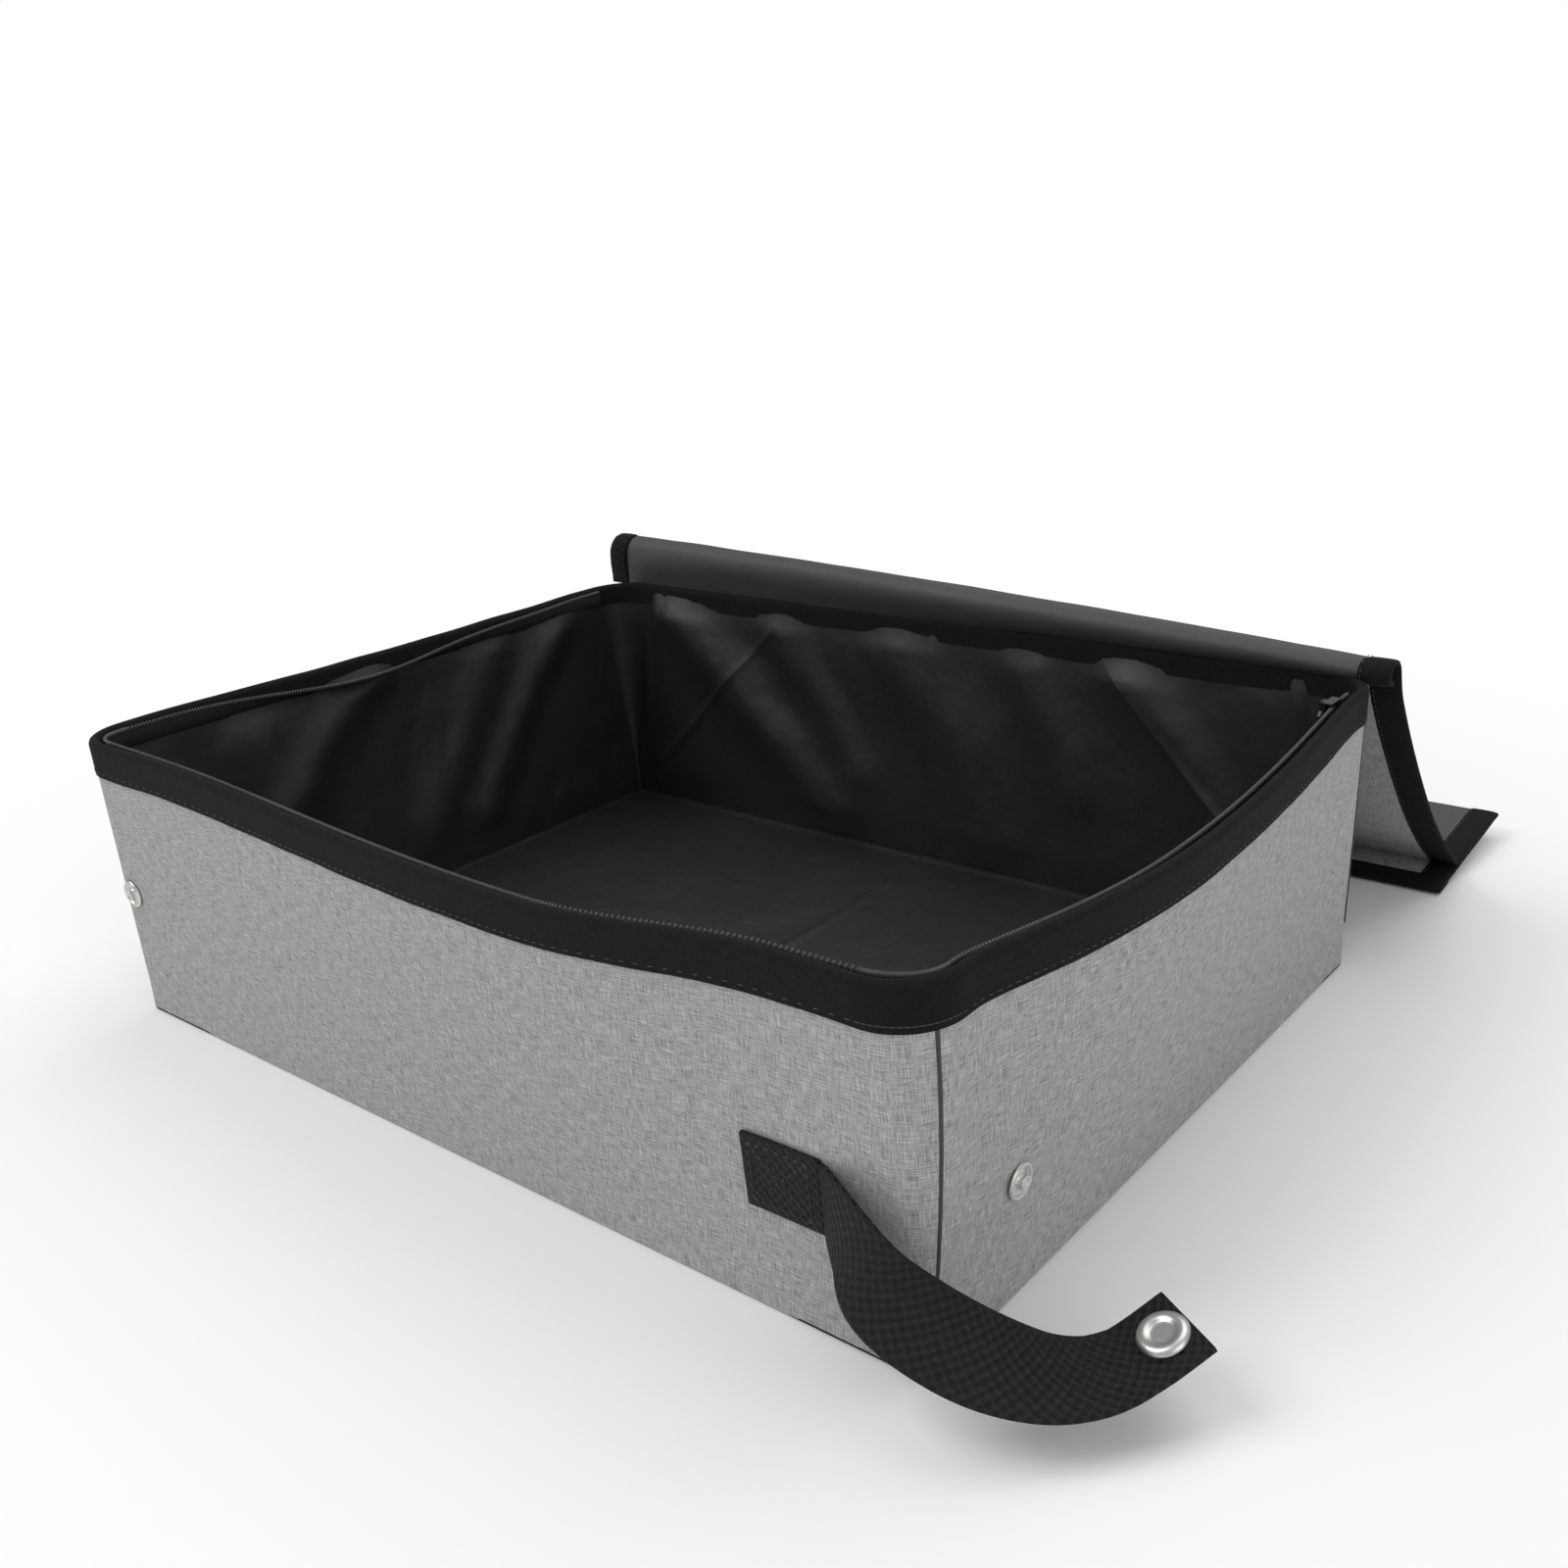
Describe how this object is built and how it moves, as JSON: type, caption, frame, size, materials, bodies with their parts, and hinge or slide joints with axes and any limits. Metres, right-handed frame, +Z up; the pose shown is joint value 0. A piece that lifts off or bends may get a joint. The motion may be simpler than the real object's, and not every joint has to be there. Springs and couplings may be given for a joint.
{
  "type": "foldable litter box",
  "caption": "Open-topped rectangular fabric litter tray with board-stiffened folding walls, glossy lining, soft zip-on lid worn open at the rear, and a snap strap.",
  "frame": {"origin": "centre of the floor cloth's underside, where the tray stands", "axes": "+X along the tray's length to the strap end, +Y towards the lid's hinge, +Z up"},
  "size_m": [0.4822, 0.4876, 0.1387],
  "materials": {
    "grey_linen": "heather grey linen weave",
    "black_binding": "black woven tape",
    "zip_tape": "black zip tape with nylon coil",
    "webbing": "ribbed black webbing",
    "glossy_lining": "glossy black coated lining",
    "board": "stiffening board",
    "zip_metal": "black enamel",
    "snap_metal": "nickel plated"
  },
  "bodies": {
    "base": {"base_fabric": "grey_linen", "base_board_right": "board", "base_board_left": "board", "floor_lining": "glossy_lining"},
    "right_wall": {"right_wall_lining": "glossy_lining", "right_wall_board": "board", "right_wall_fabric": "grey_linen", "right_rim_binding": "black_binding", "right_zip_tape": "zip_tape", "right_stud": "snap_metal"},
    "left_wall": {"left_wall_lining": "glossy_lining", "left_wall_board": "board", "left_wall_fabric": "grey_linen", "left_rim_binding": "black_binding", "left_zip_tape": "zip_tape"},
    "front_wall": {"front_wall_lining": "glossy_lining", "front_wall_fabric": "grey_linen", "front_board_right": "board", "front_board_left": "board", "front_rim_binding": "black_binding", "corner_fabric_front_right": "grey_linen", "corner_lining_front_right": "glossy_lining", "corner_binding_front_right": "black_binding", "corner_fabric_front_left": "grey_linen", "corner_lining_front_left": "glossy_lining", "corner_binding_front_left": "black_binding", "front_zip_tape": "zip_tape", "strap_patch": "webbing", "front_stud": "snap_metal"},
    "rear_wall": {"rear_wall_lining": "glossy_lining", "rear_wall_fabric": "grey_linen", "rear_board_right": "board", "rear_board_left": "board", "rear_rim_binding": "black_binding", "corner_fabric_rear_right": "grey_linen", "corner_lining_rear_right": "glossy_lining", "corner_binding_rear_right": "black_binding", "corner_fabric_rear_left": "grey_linen", "corner_lining_rear_left": "glossy_lining", "corner_binding_rear_left": "black_binding"},
    "lid_band": {"lid_hinge_band": "black_binding", "lid_fold_strip": "black_binding"},
    "lid_back": {"lid_back_fabric": "grey_linen", "lid_back_lining": "glossy_lining", "lid_back_edge_tape": "black_binding"},
    "lid_crease": {"lid_crease_strip": "grey_linen"},
    "lid_middle": {"lid_middle_fabric": "grey_linen", "lid_middle_lining": "glossy_lining", "lid_middle_edge_tape": "black_binding"},
    "lid_front": {"lid_front_fabric": "grey_linen", "lid_front_lining": "glossy_lining", "lid_front_edge_tape": "black_binding"},
    "strap": {"snap_strap": "webbing", "snap_cap": "snap_metal", "snap_socket": "snap_metal"},
    "zip_slider": {"zip_slider": "zip_metal"},
    "zip_pull": {"zip_pull": "zip_metal"}
  },
  "joints": [
    {"name": "long_wall_fold", "type": "hinge", "parent": "base", "child": "rear_wall", "pos_m": [0, 0.1468, 0.0192], "axis": [1, 0, 0], "range_deg": [0, 93.5], "deforming": ["corner_fabric_rear_right", "corner_lining_rear_right", "corner_binding_rear_right", "corner_fabric_rear_left", "corner_lining_rear_left", "corner_binding_rear_left"]},
    {"name": "front_wall_fold", "type": "hinge", "parent": "base", "child": "front_wall", "pos_m": [0, -0.1468, 0.0192], "axis": [-1, 0, 0], "range_deg": [0, 93.5], "deforming": ["corner_fabric_front_right", "corner_lining_front_right", "corner_binding_front_right", "corner_fabric_front_left", "corner_lining_front_left", "corner_binding_front_left"]},
    {"name": "end_wall_fold", "type": "hinge", "parent": "base", "child": "right_wall", "pos_m": [0.1968, 0, 0.0114], "axis": [0, -1, 0], "range_deg": [0, 93.5]},
    {"name": "left_wall_fold", "type": "hinge", "parent": "base", "child": "left_wall", "pos_m": [-0.1968, 0, 0.0114], "axis": [0, 1, 0], "range_deg": [0, 93.5]},
    {"name": "lid_close", "type": "hinge", "parent": "rear_wall", "child": "lid_band", "pos_m": [0, 0.15626, 0.121], "axis": [-1, 0, 0], "range_deg": [-93.5, 0], "deforming": ["lid_hinge_band", "lid_fold_strip"]},
    {"name": "lid_back_bend", "type": "hinge", "parent": "lid_band", "child": "lid_back", "pos_m": [0, 0.15736, 0.13897], "axis": [-1, 0, 0], "range_deg": [-139.17, 0], "deforming": ["lid_back_fabric", "lid_back_lining", "lid_back_edge_tape"]},
    {"name": "lid_crease_bend", "type": "hinge", "parent": "lid_back", "child": "lid_crease", "pos_m": [0, 0.25068, 0.01101], "axis": [1, 0, 0], "range_deg": [0, 100], "deforming": ["lid_crease_strip"]},
    {"name": "lid_middle_bend", "type": "hinge", "parent": "lid_crease", "child": "lid_middle", "pos_m": [0, 0.25796, 0.00572], "axis": [-1, 0, 0], "range_deg": [0, 57.67], "deforming": ["lid_middle_fabric", "lid_middle_lining", "lid_middle_edge_tape"]},
    {"name": "lid_front_bend", "type": "hinge", "parent": "lid_middle", "child": "lid_front", "pos_m": [0, 0.31423, 0.00969], "axis": [-1, 0, 0], "range_deg": [-179.11, 0], "deforming": ["lid_front_fabric", "lid_front_lining", "lid_front_edge_tape"]},
    {"name": "strap_swing", "type": "hinge", "parent": "front_wall", "child": "strap", "pos_m": [0.1694, -0.15279, 0.04834], "axis": [0, 0.061, -0.9981], "range_deg": [-6, 75], "deforming": ["snap_strap"]},
    {"name": "zip_slide", "type": "slide", "parent": "right_wall", "child": "zip_slider", "axis": [0, 1, 0], "range_m": [-0.235, 0]},
    {"name": "zip_pull_swing", "type": "hinge", "parent": "zip_slider", "child": "zip_pull", "pos_m": [0.19717, 0.11867, 0.11818], "axis": [0, -1, 0], "range_deg": [-85, 0]}
  ],
  "couplings": [
    {"joint": "front_wall_fold", "follows": "long_wall_fold", "ratio": 1},
    {"joint": "left_wall_fold", "follows": "end_wall_fold", "ratio": 1},
    {"joint": "lid_crease_bend", "follows": "long_wall_fold", "ratio": 1.0695},
    {"joint": "lid_back_bend", "follows": "lid_close", "ratio": 1.4884},
    {"joint": "lid_middle_bend", "follows": "lid_close", "ratio": -0.61679},
    {"joint": "lid_front_bend", "follows": "lid_close", "ratio": 1.9155}
  ]
}
